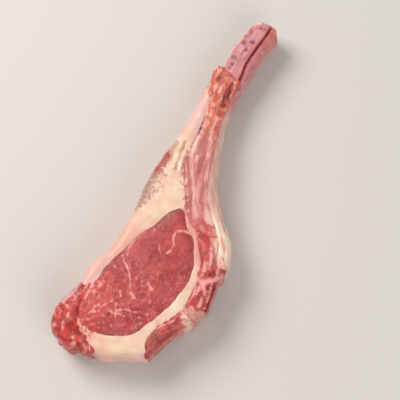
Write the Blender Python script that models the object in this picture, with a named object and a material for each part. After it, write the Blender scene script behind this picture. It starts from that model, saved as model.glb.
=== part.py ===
"""Raw lamb rib chop with a scraped rib bone, lying on one cut face.

Metres, +Z up. The long axis runs along Y with the bone tip at +Y, and the origin is the
centre of the bounding box, at the bottom. The outlines below are drawn in millimetres,
looking down on the upper cut face, and are moved to the origin at the end.
"""

import bmesh
import bpy
import numpy as np

MM = 0.001

# Driving dimensions in millimetres
THICKNESS = 20.0  # cut face to cut face, through the meat
TIP_TOP = 15.5  # upper side of the bare bone
TIP_FLOOR = 3.5  # lower side of the bare bone
SLOPE_START = 0.0  # along Y, where the faces start to draw in towards the bare bone
SLOPE_END = 62.0
FACE_WAVE = 0.35  # unevenness of the cut face
GAP = 0.3  # clearance between two touching solids
MEAT_ROUND = 3.6  # rounding of the outer rim of meat and fat
BONE_ROUND = 5.0
SEAM_ROUND = 0.6  # rounding of a rim at a seam
ROW_STEP = 3.4  # distance between two rows of points along a band
END_CROWDING = 0.55  # how much closer the rows lie at a band's ends, 0 to 1
NARROWEST = 1.2  # a band ends where it is narrower than this
SAME_ROW = 0.4  # two rows closer than this at both edges count as one
WIDEST_RIM = 0.4  # a rim takes at most this share of a row's width
RIM_ANGLES = (0.0, 35.0, 62.0, 90.0)  # where the points of a quarter-round rim lie, in degrees
DENSE = 240  # points along one drawn curve


def curve(*points):
    """Points along a smooth curve through the given ones: cubic spans by chord length."""
    through = np.array(points, float)
    at = np.concatenate(([0.0], np.cumsum(np.linalg.norm(np.diff(through, axis=0), axis=1))))
    slope = np.gradient(through, at, axis=0)
    t = np.linspace(0.0, at[-1], DENSE)
    k = np.clip(np.searchsorted(at, t, side="right") - 1, 0, len(at) - 2)
    span = (at[k + 1] - at[k])[:, None]
    u = (t - at[k])[:, None] / span
    start = (1 + 2 * u) * (1 - u) ** 2 * through[k] + u * (1 - u) ** 2 * span * slope[k]
    end = u * u * (3 - 2 * u) * through[k + 1] + u * u * (u - 1) * span * slope[k + 1]
    return start + end


def stretch(line, first, last):
    """The part of a line between its points nearest to two places, in that direction."""
    a = np.argmin(np.linalg.norm(line - first, axis=1))
    b = np.argmin(np.linalg.norm(line - last, axis=1))
    return line[a : b + 1] if a <= b else line[b : a + 1][::-1]


def chain(*lines):
    return np.concatenate(lines)


def distance_along(line):
    return np.concatenate(([0.0], np.cumsum(np.linalg.norm(np.diff(line, axis=0), axis=1))))


# Outer edges, from the bone tip down
BONE_LEFT = curve((0.6, 88.3), (-1.8, 86.2), (-3.9, 79), (-5.0, 70), (-5.2, 62))
BONE_RIGHT = curve(
    (9.2, 87.6), (10.8, 85.2), (9.9, 77), (8.7, 66), (7.9, 54), (8.6, 42), (12, 28.5),
    (18, 13.5), (27, 2), (33.6, -4.6), (37.2, -11), (38.4, -17.6),
)
RIB_OUTER = curve((-7.8, 60.2), (-7.0, 55.5), (-6.5, 50.8))
CAP_OUTER = curve(
    (-6.9, 50.2), (-6.3, 40), (-6.7, 28), (-8.6, 13), (-9.4, 2), (-8.2, -11), (-8.6, -23),
    (-9.6, -31.5), (-12.9, -38), (-14, -44), (-13.9, -48.8),
)
TIP_OUTER = curve(
    (-13.8, -49.4), (-15, -55.5), (-17.1, -60.5), (-17.5, -65.5), (-15.6, -70.8), (-11.2, -74.4),
    (-6, -76), (-1, -75), (3.4, -74),
)
FAT_OUTER = curve((25.8, -65.3), (20.5, -67.7), (14, -70.8), (8.6, -73.3), (4.4, -73.4))
SIDE_OUTER = curve((37.6, -20.8), (37.3, -28), (38.2, -36))
STRIP_OUTER = curve((38.2, -36), (38.1, -39.8), (35.9, -43.4))
CORNER_OUTER = curve((35.9, -43.6), (32.8, -49), (29, -55.4), (27.3, -60), (26, -65))

# Seams, where two pieces meet
BONE_SEAM = curve(
    (4.7, 58), (5.0, 50), (6.3, 39), (9.4, 25.5), (16.4, 7), (23.3, -2), (30.4, -9.8), (37.2, -18.2),
)
CAP_SEAM = curve((-6.0, 50.6), (-3, 46), (-1.3, 37), (0.3, 22), (3.6, 9.5), (7.8, 3.2), (9.5, -1))
EYE_LEFT = curve(
    (9.5, -2.6), (6.2, -6.2), (3.2, -13.5), (-1.6, -21.5), (-4.6, -30), (-7.4, -39), (-8.2, -47),
    (-9.2, -54), (-8, -61), (-4.6, -64.8), (-1, -66.3),
)
EYE_RIGHT = curve(
    (10.3, -2.8), (14.6, -8.8), (20, -12.8), (24.4, -20.5), (26.6, -28), (25.6, -36), (23.4, -44.5),
    (20, -52), (16.4, -58.6), (10, -62.8), (4, -64.9), (-1, -66.3),
)
WRAP_SEAM = curve(
    (10.0, -1.2), (14.4, -5.4), (21, -11), (26.2, -19), (28.5, -26), (28.9, -33.5), (29, -41),
    (24.4, -49.5), (22.3, -56.5), (23, -61.5), (25.8, -65.3),
)
RIB_SEAM = curve((16.3, -7.2), (22, -7.9), (28.6, -7.7))
CHINE_SEAM = curve((28.5, -26), (31.5, -26.2), (34.6, -24.4), (37.6, -20.6))
SIDE_SEAM = curve((29.4, -38.6), (32, -38.4), (35.5, -37.4), (38.2, -36))
STRIP_SEAM = curve((29.4, -41.6), (32, -43), (35.9, -43.4))
TIP_SEAM = curve((4.4, -73.4), (2.0, -71), (-1.4, -69.1), (-4, -66.9), (-5.8, -64.2))

# Edges that get a rounded rim; the sawn tip and the seams stay out
OUTLINE = chain(
    RIB_OUTER, CAP_OUTER, TIP_OUTER, FAT_OUTER, CORNER_OUTER, STRIP_OUTER, SIDE_OUTER, BONE_RIGHT,
)
BONE_OUTLINE = chain(
    stretch(BONE_LEFT, (-1.8, 86.2), (-5.2, 62)),
    stretch(BONE_RIGHT, (10.8, 85.2), (38.4, -17.6)),
)


def draw_in(y):
    """0 in the meat, rising smoothly to 1 at the bare bone."""
    t = np.clip((y - SLOPE_START) / (SLOPE_END - SLOPE_START), 0.0, 1.0)
    return t * t * (3 - 2 * t)


def top_face(x, y):
    wave = np.sin(0.11 * x + 0.9) * np.cos(0.09 * y) + 0.6 * np.sin(0.21 * y + 0.13 * x)
    return THICKNESS + (TIP_TOP - THICKNESS) * draw_in(y) + FACE_WAVE * wave


def bottom_face(y):
    return TIP_FLOOR * draw_in(y)


def quarter_round(distance, radius):
    """How far a quarter-round rim lies below the face, at a distance in from its edge."""
    outward = np.clip(radius - distance, 0.0, radius)
    return radius - np.sqrt(radius**2 - outward**2)


def distance_to(x, y, outline):
    near = np.full(x.shape, np.inf)
    for edge_x, edge_y in outline:
        near = np.minimum(near, np.hypot(x - edge_x, y - edge_y))
    return near


def crags(x, y, height):
    """Small bumps of torn meat, crossing the face both ways."""
    return height * np.sin(1.1 * x + 0.7 * y) * np.cos(0.8 * y - 0.9 * x)


def rows_along(line, count):
    """Points along a line, closer together near its ends."""
    t = np.linspace(0.0, 1.0, count)
    t = (1 - END_CROWDING) * t + END_CROWDING * (1 - np.cos(np.pi * t)) / 2
    at = distance_along(line)
    return np.column_stack([np.interp(t * at[-1], at, line[:, k]) for k in (0, 1)])


def drawn_in(line, side):
    """A line moved sideways by half the gap: side 1 to its left, -1 to its right."""
    along = np.gradient(line, axis=0)
    along /= np.linalg.norm(along, axis=1)[:, None]
    return line + side * GAP / 2 * np.column_stack((-along[:, 1], along[:, 0]))


def across_band(width, left_reach, right_reach, inner):
    """Distances across a row: a quarter round at each side and even steps between."""
    quarter = 1 - np.cos(np.radians(RIM_ANGLES))
    left = np.minimum(left_reach, WIDEST_RIM * width)[:, None] * quarter
    right = width[:, None] - np.minimum(right_reach, WIDEST_RIM * width)[:, None] * quarter[::-1]
    steps = np.linspace(0.0, 1.0, inner + 2)[1:-1]
    middle = left[:, -1:] + (right[:, :1] - left[:, -1:]) * steps
    return np.concatenate((left, middle, right), axis=1)


def band(legs, inner=3, crown=0.4, outline=OUTLINE, radius=MEAT_ROUND, relief=0.0):
    """Rows of closed loops between a left and a right edge.

    Each leg is a left edge, a right edge, and for each of the two how far its rim reaches
    in. A row's loop crosses the top face from left to right and comes back underneath.
    """
    left, right, left_reach, right_reach = [], [], [], []
    for left_line, right_line, reach_left, reach_right in legs:
        longer = max(distance_along(left_line)[-1], distance_along(right_line)[-1])
        count = max(3, round(longer / ROW_STEP) + 1)
        left.append(rows_along(left_line, count))
        right.append(rows_along(right_line, count))
        left_reach.append(np.full(count, reach_left))
        right_reach.append(np.full(count, reach_right))
    left, right = chain(*left), chain(*right)
    left_reach, right_reach = chain(*left_reach), chain(*right_reach)
    step = np.abs(np.diff(np.concatenate((left, right), axis=1), axis=0)).max(axis=1)
    kept = np.concatenate(([True], step > SAME_ROW)) & (np.linalg.norm(right - left, axis=1) > NARROWEST)
    left, right = drawn_in(left[kept], 1), drawn_in(right[kept], -1)
    left_reach, right_reach = left_reach[kept], right_reach[kept]
    width = np.linalg.norm(right - left, axis=1)
    across = across_band(width, left_reach, right_reach, inner)
    share = across / width[:, None]
    place = left[:, None] + (right - left)[:, None] * share[..., None]
    x, y = place[..., 0], place[..., 1]
    outer_rim = quarter_round(distance_to(x, y, outline), radius)
    seam_rim = quarter_round(np.minimum(across, width[:, None] - across), SEAM_ROUND)
    rim = np.maximum(outer_rim, seam_rim)
    dome = crown * 4 * share * (1 - share)
    top = top_face(x, y) + dome + crags(x, y, relief) - rim
    bottom = bottom_face(y) + rim
    over = np.stack((x, y, top), axis=-1)
    under = np.stack((x, y, bottom), axis=-1)[:, ::-1]
    return np.concatenate((over, under), axis=1)


def rib_bone():
    """The rib: bare and rounded at the tip, then a strip along the edge of the meat."""
    bare = (BONE_LEFT, stretch(BONE_RIGHT, (9.2, 87.6), (8.5, 62)), BONE_ROUND, BONE_ROUND)
    shoulder_line = curve((-5.2, 62), (-0.5, 60.6), (4.7, 58))
    shoulder = (shoulder_line, stretch(BONE_RIGHT, (8.5, 62), (8.0, 57)), BONE_ROUND, BONE_ROUND)
    strip = (BONE_SEAM, stretch(BONE_RIGHT, (8.0, 57), (38.4, -17.6)), SEAM_ROUND, BONE_ROUND)
    return band([bare, shoulder, strip], inner=2, crown=0.2, outline=BONE_OUTLINE, radius=BONE_ROUND)


def rib_meat():
    """The thin meat along the rib, cut off ragged where the bone is scraped bare."""
    upper_left = chain(RIB_OUTER, CAP_SEAM)
    upper = (upper_left, stretch(BONE_SEAM, (4.7, 57.6), (16.4, 7)), MEAT_ROUND, SEAM_ROUND)
    lower_left = chain(stretch(WRAP_SEAM, (10, -1.2), (16.3, -7.1)), RIB_SEAM)
    lower = (lower_left, stretch(BONE_SEAM, (16.4, 7), (28.6, -7.7)), SEAM_ROUND, SEAM_ROUND)
    return band([upper, lower], inner=2, crown=0.8, relief=0.25)


def fat_cap():
    """The white fat down the left side, widest above the eye muscle."""
    inner_edge = chain(CAP_SEAM, stretch(EYE_LEFT, (9.5, -2.6), (-8.3, -48.8)))
    return band([(CAP_OUTER, inner_edge, MEAT_ROUND, SEAM_ROUND)], inner=2)


def eye_muscle():
    """The large oval muscle, slightly domed."""
    return band([(EYE_LEFT, EYE_RIGHT, SEAM_ROUND, SEAM_ROUND)], inner=6, crown=1.1)


def wrap_fat():
    """The fat that runs as a thin line down the right of the eye muscle and widens below it."""
    side = (
        stretch(EYE_RIGHT, (10.3, -2.8), (17.6, -56.6)),
        stretch(WRAP_SEAM, (10, -1.2), (22.3, -57.5)),
        SEAM_ROUND,
        SEAM_ROUND,
    )
    turn = (
        stretch(EYE_RIGHT, (17.6, -56.6), (12.6, -61.4)),
        chain(
            stretch(WRAP_SEAM, (22.3, -57.5), (25.8, -65.3)),
            stretch(FAT_OUTER, (25.8, -65.3), (20.5, -67.7)),
        ),
        SEAM_ROUND,
        MEAT_ROUND,
    )
    below = (
        stretch(EYE_RIGHT, (12.6, -61.4), (-1, -66.3)),
        stretch(FAT_OUTER, (20.5, -67.7), (4.4, -73.4)),
        SEAM_ROUND,
        MEAT_ROUND,
    )
    end = (stretch(EYE_LEFT, (-1, -66.3), (-6, -63.8)), TIP_SEAM, SEAM_ROUND, SEAM_ROUND)
    return band([side, turn, below, end], inner=2, crown=0.3)


def chine_meat():
    """The red wedge between the eye muscle and the thick end of the bone."""
    lower_edge = chain(stretch(WRAP_SEAM, (16.3, -7.1), (28.5, -26)), CHINE_SEAM)
    upper_edge = chain(RIB_SEAM, stretch(BONE_SEAM, (28.6, -7.7), (37.2, -18.2)))
    return band([(lower_edge, upper_edge, SEAM_ROUND, SEAM_ROUND)], inner=2, crown=0.5, relief=0.2)


def side_muscle():
    """The small muscle at the right, under the chine end."""
    upper_edge = stretch(CHINE_SEAM, (29.2, -26), (37.6, -20.6))
    return band([(SIDE_SEAM, upper_edge, SEAM_ROUND, SEAM_ROUND)], inner=3, crown=0.5)


def side_fat():
    """The short strip of fat between the two muscles at the right."""
    return band([(STRIP_SEAM, SIDE_SEAM, SEAM_ROUND, SEAM_ROUND)], inner=2)


def corner_muscle():
    """The muscle at the lower right corner."""
    start = (stretch(WRAP_SEAM, (29, -41.6), (27.2, -45)), STRIP_SEAM, SEAM_ROUND, SEAM_ROUND)
    rest = (stretch(WRAP_SEAM, (27.2, -45), (25.8, -65.3)), CORNER_OUTER, SEAM_ROUND, MEAT_ROUND)
    return band([start, rest], inner=3, crown=0.5)


def tip_meat():
    """The ragged meat at the lower left."""
    inner_edge = chain(stretch(EYE_LEFT, (-8.5, -49.4), (-6, -63.8)), TIP_SEAM[::-1])
    return band([(TIP_OUTER, inner_edge, MEAT_ROUND, SEAM_ROUND)], inner=3, crown=0.3, relief=0.55)


def bone_material():
    return {"colour": (0.70, 0.42, 0.40), "roughness": 0.45}


def fat_material():
    return {"colour": (0.88, 0.70, 0.56), "roughness": 0.4}


def meat_material():
    return {"colour": (0.47, 0.085, 0.085), "roughness": 0.35}


def thin_meat_material():
    return {"colour": (0.62, 0.20, 0.17), "roughness": 0.4}


SUBPARTS = (
    (rib_bone, bone_material),
    (rib_meat, thin_meat_material),
    (fat_cap, fat_material),
    (eye_muscle, meat_material),
    (wrap_fat, fat_material),
    (chine_meat, meat_material),
    (side_muscle, meat_material),
    (side_fat, fat_material),
    (corner_muscle, meat_material),
    (tip_meat, thin_meat_material),
)


def material(name, colour, roughness):
    made = bpy.data.materials.new(name)
    made.use_nodes = True
    shader = made.node_tree.nodes["Principled BSDF"]
    shader.inputs["Base Color"].default_value = (*colour, 1.0)
    shader.inputs["Roughness"].default_value = roughness
    shader.inputs["Metallic"].default_value = 0.0
    return made


def solid(name, loops, look):
    """One closed mesh from rows of loops, with a fan over each end."""
    rows, around = loops.shape[:2]
    mesh = bmesh.new()
    grid = [[mesh.verts.new(point) for point in loop] for loop in loops]
    for row in range(rows - 1):
        for k in range(around):
            after = (k + 1) % around
            mesh.faces.new((grid[row][k], grid[row][after], grid[row + 1][after], grid[row + 1][k]))
    for end in (0, rows - 1):
        middle = mesh.verts.new(loops[end].mean(axis=0))
        for k in range(around):
            mesh.faces.new((grid[end][k], grid[end][(k + 1) % around], middle))
    bmesh.ops.recalc_face_normals(mesh, faces=mesh.faces)
    data = bpy.data.meshes.new(name)
    mesh.to_mesh(data)
    mesh.free()
    data.shade_smooth()
    data.set_sharp_from_angle(angle=np.radians(45.0))
    data.materials.append(look)
    bpy.context.scene.collection.objects.link(bpy.data.objects.new(name, data))


def build():
    for old in list(bpy.data.objects):
        bpy.data.objects.remove(old, do_unlink=True)
    looks = {make: material(make.__name__, **make()) for _, make in SUBPARTS}
    shapes = {shape.__name__: shape() for shape, _ in SUBPARTS}
    every = np.concatenate([loops.reshape(-1, 3) for loops in shapes.values()])
    low, high = every.min(axis=0), every.max(axis=0)
    origin = np.array([(low[0] + high[0]) / 2, (low[1] + high[1]) / 2, low[2]])
    for shape, make in SUBPARTS:
        solid(shape.__name__, (shapes[shape.__name__] - origin) * MM, looks[make])


build()
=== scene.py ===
"""A raw lamb rib chop, lying on one cut face: the finish of every piece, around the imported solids.

Outlines are drawn in millimetres, looking down on the upper cut face, with the bare end of
the rib at the top of the drawing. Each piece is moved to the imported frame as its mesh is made.
"""

import itertools

import bpy
import numpy as np
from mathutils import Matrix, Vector


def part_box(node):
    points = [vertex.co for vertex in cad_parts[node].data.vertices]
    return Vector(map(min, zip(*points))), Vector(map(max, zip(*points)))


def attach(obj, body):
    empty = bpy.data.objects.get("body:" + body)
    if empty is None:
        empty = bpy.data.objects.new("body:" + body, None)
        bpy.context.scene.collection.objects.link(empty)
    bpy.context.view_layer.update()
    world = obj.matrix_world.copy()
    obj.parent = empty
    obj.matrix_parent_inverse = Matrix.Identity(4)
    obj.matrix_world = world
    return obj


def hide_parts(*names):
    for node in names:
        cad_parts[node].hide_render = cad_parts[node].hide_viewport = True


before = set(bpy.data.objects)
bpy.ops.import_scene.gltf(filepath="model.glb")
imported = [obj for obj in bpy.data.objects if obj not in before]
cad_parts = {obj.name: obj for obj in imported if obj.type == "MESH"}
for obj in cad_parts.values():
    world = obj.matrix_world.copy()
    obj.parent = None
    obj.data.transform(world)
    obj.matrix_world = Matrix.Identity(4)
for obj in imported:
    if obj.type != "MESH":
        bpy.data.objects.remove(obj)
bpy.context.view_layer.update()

# Rib bone
# The curved rib, scraped bare and sawn off at its tip, damp and pink over cream, with a dark
# line of blood along it. Lower down only its edge shows beside the meat, and it ends in the
# pale thick end that joined the backbone. It grows in the meat, so nothing fixes it.

MM = 0.001
BONE_REACH = (38.25, 88.18)  # the bone's farthest places in the drawing, right and up
THICKNESS = 20.0  # cut face to cut face
TIP_TOP = 15.5  # upper side of the bare bone
TIP_FLOOR = 3.5  # its underside
SLOPE = (0, 62)  # along Y, where the faces draw in towards the bare bone
FACE_WAVE = 0.35  # the upper face isn't quite flat
BONE_ROUND = 5.0  # rounding of the bone's outer rim
MEAT_ROUND = 3.6  # of the outer rim of meat and fat
SEAM_ROUND = 0.5  # of the rim along a seam
UNDER_ROUND = 2.0  # softer underneath, where the chop lies on its other face
CROWN_RISE = 5.0  # how far from its ends a piece is fully crowned
LAP = 0.8  # how far a piece reaches past its seam into its neighbour
ROW = 0.42  # distance between two rows of points
LEAST_WIDTH = 0.4  # a narrower row is left out
WIDEST_RIM = 0.4  # a rim takes at most this share of a row
RIM_POINTS = 4  # a narrow rim has these, and one more for each row of its width
CAP_RINGS = 6  # rings that close each end of a piece
CURVE_POINTS = 600
LINE_PIECES = 75  # about as many straight pieces stand for a line in distance_to
NOISE_GAIN = 1.5  # brings the noise to about -1 to 1
LATTICE = np.random.default_rng(11).normal(size=(32, 32, 32, 3))
LATTICE /= np.linalg.norm(LATTICE, axis=-1, keepdims=True)

bone_high = np.array(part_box("rib_bone")[1][:2]) / MM
TO_FRAME = np.array([*(bone_high - BONE_REACH), 0.0])


def distance_along(line):
    """For each point of a line, the sum of the steps that lead to it."""
    return np.concatenate(([0.0], np.cumsum(np.linalg.norm(np.diff(line, axis=0), axis=1))))


def curve(*points):
    """A smooth line through the points: between two of them a cubic in chord length, whose
    slope at each point is the weighted mean of its two neighbouring chords."""
    through = np.array(points, float)
    at = distance_along(through)
    slope = np.gradient(through, at, axis=0)
    t = np.linspace(0, at[-1], CURVE_POINTS)
    k = np.clip(np.searchsorted(at, t, side="right") - 1, 0, len(at) - 2)
    span = (at[k + 1] - at[k])[:, None]
    u = (t - at[k])[:, None] / span
    start = (1 + 2 * u) * (1 - u) ** 2 * through[k] + u * (1 - u) ** 2 * span * slope[k]
    end = u * u * (3 - 2 * u) * through[k + 1] + u * u * (u - 1) * span * slope[k + 1]
    return start + end


def stretch(line, first, last):
    """The part of a line between its points nearest to two places, in that direction."""
    a = np.argmin(np.linalg.norm(line - first, axis=1))
    b = np.argmin(np.linalg.norm(line - last, axis=1))
    return line[a : b + 1] if a <= b else line[b : a + 1][::-1]


def chain(*lines):
    """Lines joined into one, end to start."""
    return np.concatenate(lines)


def smooth(low, high, value):
    """0 below low, 1 above high, and the curve 3t^2 - 2t^3 between; falls where low > high."""
    t = np.clip((value - low) / (high - low), 0, 1)
    return t * t * (3 - 2 * t)


def noise(place, size, shift=0):
    """Smooth random values, mostly between -1 and 1: each point of a lattice, size
    millimetres apart, has a random slope, and the eight slopes round a place are blended."""
    at = place / size + shift
    cell = np.floor(at).astype(int)
    part = at - cell
    share = part**3 * (part * (6 * part - 15) + 10)
    total = np.zeros(place.shape[:-1])
    for corner in itertools.product((0, 1), repeat=3):
        weight = np.prod(np.where(corner, share, 1 - share), axis=-1)
        x, y, z = np.moveaxis((cell + corner) % len(LATTICE), -1, 0)
        total += weight * np.sum(LATTICE[x, y, z] * (part - corner), axis=-1)
    return total * NOISE_GAIN


def distance_to(place, line):
    """Distance in the drawing from each place to a line: the least of its distances to the
    line's straight pieces, each reached at the foot of a perpendicular or at an end."""
    x, y = place[..., 0], place[..., 1]
    line = line[:: max(1, len(line) // LINE_PIECES)]
    near = np.full(x.shape, np.inf)
    for (ax, ay), (dx, dy) in zip(line[:-1], np.diff(line, axis=0)):
        t = np.clip(((x - ax) * dx + (y - ay) * dy) / max(dx * dx + dy * dy, 1e-9), 0, 1)
        near = np.minimum(near, (x - ax - t * dx) ** 2 + (y - ay - t * dy) ** 2)
    return np.sqrt(near)


def wandering(place, amount=0.45, size=1.7):
    """The places moved about by noise, so that what is drawn with them gets a natural edge."""
    moved = place.copy()
    moved[..., 0] += amount * noise(place, size, 2.3)
    moved[..., 1] += amount * noise(place, size, 7.9)
    return moved


def drawn(place, *marks):
    """The strongest of some marks, each a bell curve over the distance to its line: a half
    width, a strength, and the line, or the points that a curve goes through."""
    lines = [line[0] if len(line) == 1 else curve(*line) for _, _, *line in marks]
    return np.maximum.reduce([
        power * np.exp(-((distance_to(place, line) / width) ** 2))
        for (width, power, *_), line in zip(marks, lines)
    ])


def dotted(place, *spots):
    """The strongest of some spots, each a bell curve: its x, y, half width and strength."""
    x, y = place[..., 0], place[..., 1]
    return np.maximum.reduce([
        power * np.exp(-((x - a) ** 2 + (y - b) ** 2) / size**2) for a, b, size, power in spots
    ])


def by_face(place):
    """1 at the two cut faces and 0 halfway down a wall, with an uneven edge between: the
    share of a mark that belongs to the faces alone."""
    away = np.abs(2 * place[..., 2] / THICKNESS - 1)
    return smooth(0.4, 0.75, away + 0.35 * noise(place, 3))


def top_face(x, y):
    """Height of the upper face: the thickness, less along the slope, plus a wave of sines."""
    wave = np.sin(0.11 * x + 0.9) * np.cos(0.09 * y) + 0.6 * np.sin(0.21 * y + 0.13 * x)
    return THICKNESS + (TIP_TOP - THICKNESS) * smooth(*SLOPE, y) + FACE_WAVE * wave


def bottom_face(y):
    """Height of the lower face: 0, rising along the slope to the bare bone's underside."""
    return TIP_FLOOR * smooth(*SLOPE, y)


def quarter_round(distance, radius):
    """How far a rim drops at a distance from its edge: the radius less a quarter circle."""
    outward = np.clip(radius - distance, 0, radius)
    return radius - np.sqrt(radius**2 - outward**2)


def spaced(line, count):
    """A line as points at even steps of its length, in proportion between its own points."""
    at = distance_along(line)
    t = np.linspace(0, at[-1], count)
    return np.column_stack([np.interp(t, at, line[:, k]) for k in (0, 1)])


def lapped(line, side, reach):
    """An edge moved sideways by the lap where it is a seam, and not where it is the outer
    side of the chop: side -1 to its right, 1 to its left."""
    along = np.gradient(line, axis=0)
    along /= np.linalg.norm(along, axis=1)[:, None]
    lap = side * LAP * (reach < 1)[:, None]
    return line + lap * np.column_stack((-along[:, 1], along[:, 0]))


def band(legs, outline, inner, radius=MEAT_ROUND, walls=8, crown=0.4, swell=0, dome=0.5):
    """A piece as rows of closed loops between a left and a right edge.

    A leg is a left and a right line, and the widths of their rims if these aren't seams.
    Row by row down the band, a loop crosses the upper face from the left edge to the right
    one, goes down the wall, comes back underneath and climbs the left wall. The face is the
    chop's common height plus a dome that is a parabola across the row, less a quarter-round
    rim worked out from the distance to the outline. The walls swell by half a sine. Each end
    closes in rings that shrink to the middle of the row. Returns the places, how far each
    one is from the row's edges, and its flow: the distance from the band's middle line, the
    distance along the band and the height, which a grain that runs along the piece follows.
    """
    legs = [(*leg, SEAM_ROUND, SEAM_ROUND)[:4] for leg in legs]
    left = chain(*(spaced(a, leg_rows(a, b)) for a, b, _, _ in legs))
    right = chain(*(spaced(b, leg_rows(a, b)) for a, b, _, _ in legs))
    reach = chain(*(np.tile((c, d), (leg_rows(a, b), 1)) for a, b, c, d in legs))
    step = np.abs(np.diff(np.concatenate((left, right), axis=1), axis=0)).max(axis=1)
    width = np.linalg.norm(right - left, axis=1)
    kept = np.concatenate(([True], step > 0.1 * ROW)) & (width > LEAST_WIDTH)
    reach = reach[kept]
    left, right = lapped(left[kept], -1, reach[:, 0]), lapped(right[kept], 1, reach[:, 1])
    width = np.linalg.norm(right - left, axis=1)[:, None]
    near = np.minimum(reach[:, :1], WIDEST_RIM * width) * rim_steps(reach[:, 0])
    far = width - np.minimum(reach[:, 1:], WIDEST_RIM * width) * rim_steps(reach[:, 1])[::-1]
    steps = np.linspace(0, 1, inner + 2)[1:-1]
    across = np.concatenate((near, near[:, -1:] + (far[:, :1] - near[:, -1:]) * steps, far), axis=1)
    share = across / width
    flat = left[:, None] + (right - left)[:, None] * share[..., None]
    edge = np.minimum(across, width - across)
    near_side = np.minimum.reduce([distance_to(flat, line) for line in outline])
    side = quarter_round(near_side, radius)
    rim = np.maximum(side, quarter_round(edge, SEAM_ROUND))
    lift = np.maximum(side, quarter_round(edge, UNDER_ROUND))
    x, y = flat[..., 0], flat[..., 1]
    middle = distance_along((left + right) / 2)[:, None]
    crown = crown * smooth(0, CROWN_RISE, np.minimum(middle, middle[-1] - middle))
    over = np.dstack((flat, top_face(x, y) + crown * 4 * share * (1 - share) - rim))
    under = np.dstack((flat, bottom_face(y) + lift))[:, ::-1]
    drop = np.linspace(0, 1, walls + 2)[None, 1:-1, None]
    sideways = np.column_stack(((right - left) / width, 0 * width))[:, None]
    bulge = swell * np.sin(np.pi * drop) * sideways
    wall_right = over[:, -1:] * (1 - drop) + under[:, :1] * drop + bulge
    wall_left = under[:, -1:] * (1 - drop) + over[:, :1] * drop - bulge
    place = np.concatenate((over, wall_right, under, wall_left), axis=1)
    none = np.zeros((len(place), walls))
    edge = np.concatenate((edge, none, edge[:, ::-1], none), axis=1)
    edge = np.concatenate((edge[:1],) * CAP_RINGS + (edge,) + (edge[-1:],) * CAP_RINGS)
    aside = np.concatenate((across, none + width, across[:, ::-1], none), axis=1) - width / 2
    along = np.broadcast_to(middle, aside.shape)
    return capped(place, dome), edge, capped(np.dstack((aside, along, place[..., 2])), dome)


def rim_steps(reach):
    """Shares of a rim's width from its edge inwards, closer together towards the edge."""
    return 1 - np.cos(np.linspace(0, np.pi / 2, RIM_POINTS + round(reach.max() / ROW)))


def leg_rows(left, right):
    """How many rows a leg has: the length of its longer line over the distance of two rows."""
    return max(3, round(max(distance_along(left)[-1], distance_along(right)[-1]) / ROW))


def capped(place, dome):
    """Rows with both ends closed: rings that shrink evenly to the middle of the end row and
    stand out from it by a flat arch, so that an end looks cut and has a softened edge."""
    shrink = np.cos(np.linspace(0, np.pi / 2, CAP_RINGS + 2)[1:-1])[:, None, None]
    ends = []
    for row, beside in ((place[0], place[2]), (place[-1], place[-3])):
        middle = row.mean(axis=0)
        outward = (row - beside).mean(axis=0)
        outward /= np.linalg.norm(outward)
        ends.append(middle + shrink * (row - middle) + dome * (1 - shrink**3) * outward)
    return np.concatenate((ends[0][::-1], place, ends[1]))


def raised(place, height):
    """Places moved out along their normals by a height. A normal is the cross product of the
    steps down and along the grid of loops, brought to length 1."""
    around = np.roll(place, -1, axis=1) - np.roll(place, 1, axis=1)
    normal = np.cross(np.gradient(place, axis=0), around)
    length = np.maximum(np.linalg.norm(normal, axis=-1, keepdims=True), 1e-9)
    return place + normal / length * height[..., None]


def strayed(place):
    """Places moved about in the drawing by up to a few tenths of a millimetre, by the same
    rule for every piece, so that a seam wanders as grown tissue does and stays shut."""
    lift = place * (1, 1, 0.35)
    moved = place.copy()
    moved[..., 0] += 0.30 * noise(lift, 5, 0.5) + 0.12 * noise(lift, 1.7, 3.1)
    moved[..., 1] += 0.30 * noise(lift, 5, 9.5) + 0.12 * noise(lift, 1.7, 5.7)
    return moved


def above_floor(place):
    """Places with a height of 0 in place of any lower one."""
    return place * (1, 1, 0) + np.maximum(place[..., 2:], 0) * (0, 0, 1)


def in_scene(name, data):
    """An object for a mesh, a lamp or a camera, linked to the scene."""
    thing = bpy.data.objects.new(name, data)
    bpy.context.scene.collection.objects.link(thing)
    return thing


def with_ends(grid):
    """The points of a grid in one list, then the middle of its first row and of its last."""
    return np.concatenate((grid.reshape(-1, 3), grid[:1].mean(axis=1), grid[-1:].mean(axis=1)))


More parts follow.
